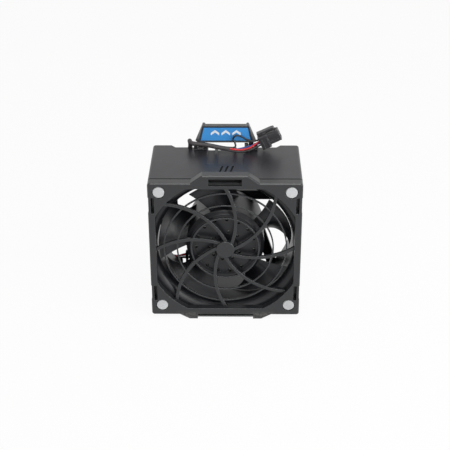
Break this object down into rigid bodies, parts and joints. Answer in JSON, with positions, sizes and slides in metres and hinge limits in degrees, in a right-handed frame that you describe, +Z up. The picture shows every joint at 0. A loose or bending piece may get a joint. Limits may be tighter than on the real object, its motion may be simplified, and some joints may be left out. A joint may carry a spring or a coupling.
{
  "type": "server fan module",
  "caption": "Square server fan module: axial fan in a black carrier with a swirl finger guard, rubber isolator pins, a fold-down pull handle and a sleeved lead with plug.",
  "frame": {"origin": "middle of the carrier's footprint, at the level of its feet", "axes": "+Z up with the handle on top; the intake and finger guard face -Y, the outlet faces +Y; +X is to the right seen from the intake"},
  "size_m": [0.0964, 0.057, 0.1177],
  "materials": {
    "carrier_plastic": "fine satin moulding",
    "guard_plastic": "satin moulding",
    "pin_rubber": "matte light grey",
    "fan_plastic": "glass-filled moulding",
    "impeller_plastic": "satin moulding",
    "tag_print": "printed label",
    "steel": "ground",
    "yoke_steel": "zinc plated",
    "brass": "turned",
    "magnet": "bonded ferrite",
    "lamination": "stacked laminations",
    "bobbin_plastic": "nylon",
    "copper": "enamelled wire",
    "board_green": "solder mask",
    "chip_black": "moulded package",
    "sleeve_black": "braided tubing",
    "wire_red": "insulated wire",
    "wire_black": "insulated wire",
    "wire_blue": "insulated wire",
    "plug_plastic": "nylon moulding",
    "terminal_tin": "tin plated"
  },
  "bodies": {
    "carrier": {"front_bezel": "carrier_plastic", "finger_guard": "guard_plastic", "isolator_pins": "pin_rubber", "housing": "carrier_plastic", "hinge_pins": "steel", "fan_frame": "fan_plastic", "motor_base": "fan_plastic", "frame_struts": "fan_plastic", "wire_guides": "fan_plastic", "bearing_tube": "brass", "front_bearing": "steel", "rear_bearing": "steel", "preload_washer": "steel", "stator_core": "lamination", "bobbin": "bobbin_plastic", "coil_windings": "copper", "circuit_board": "board_green", "board_chips": "chip_black", "hall_sensor": "chip_black", "lead_clips": "carrier_plastic", "exit_clip": "carrier_plastic", "motor_wire_red": "wire_red", "motor_wire_black": "wire_black", "motor_wire_blue": "wire_blue", "motor_wire_tach": "wire_black", "held_sleeve": "sleeve_black", "cable_sleeve": "sleeve_black", "wire_red": "wire_red", "wire_black": "wire_black", "wire_loop": "wire_black", "wire_blue": "wire_blue", "plug_shell": "plug_plastic", "plug_latch": "plug_plastic", "plug_terminals": "terminal_tin"},
    "rotor": {"impeller": "impeller_plastic", "rotor_yoke": "yoke_steel", "magnet_ring": "magnet", "shaft_bush": "brass", "shaft": "steel", "retaining_clip": "steel"},
    "handle": {"pull_handle": "carrier_plastic", "handle_tag": "tag_print"}
  },
  "joints": [
    {"name": "impeller_spin", "type": "hinge", "parent": "carrier", "child": "rotor", "pos_m": [0, -0.0135, 0.0521], "axis": [0, -1, 0], "continuous": true},
    {"name": "handle_fold", "type": "hinge", "parent": "carrier", "child": "handle", "pos_m": [0, 0.0232, 0.1022], "axis": [-1, 0, 0], "range_deg": [0, 90]}
  ]
}
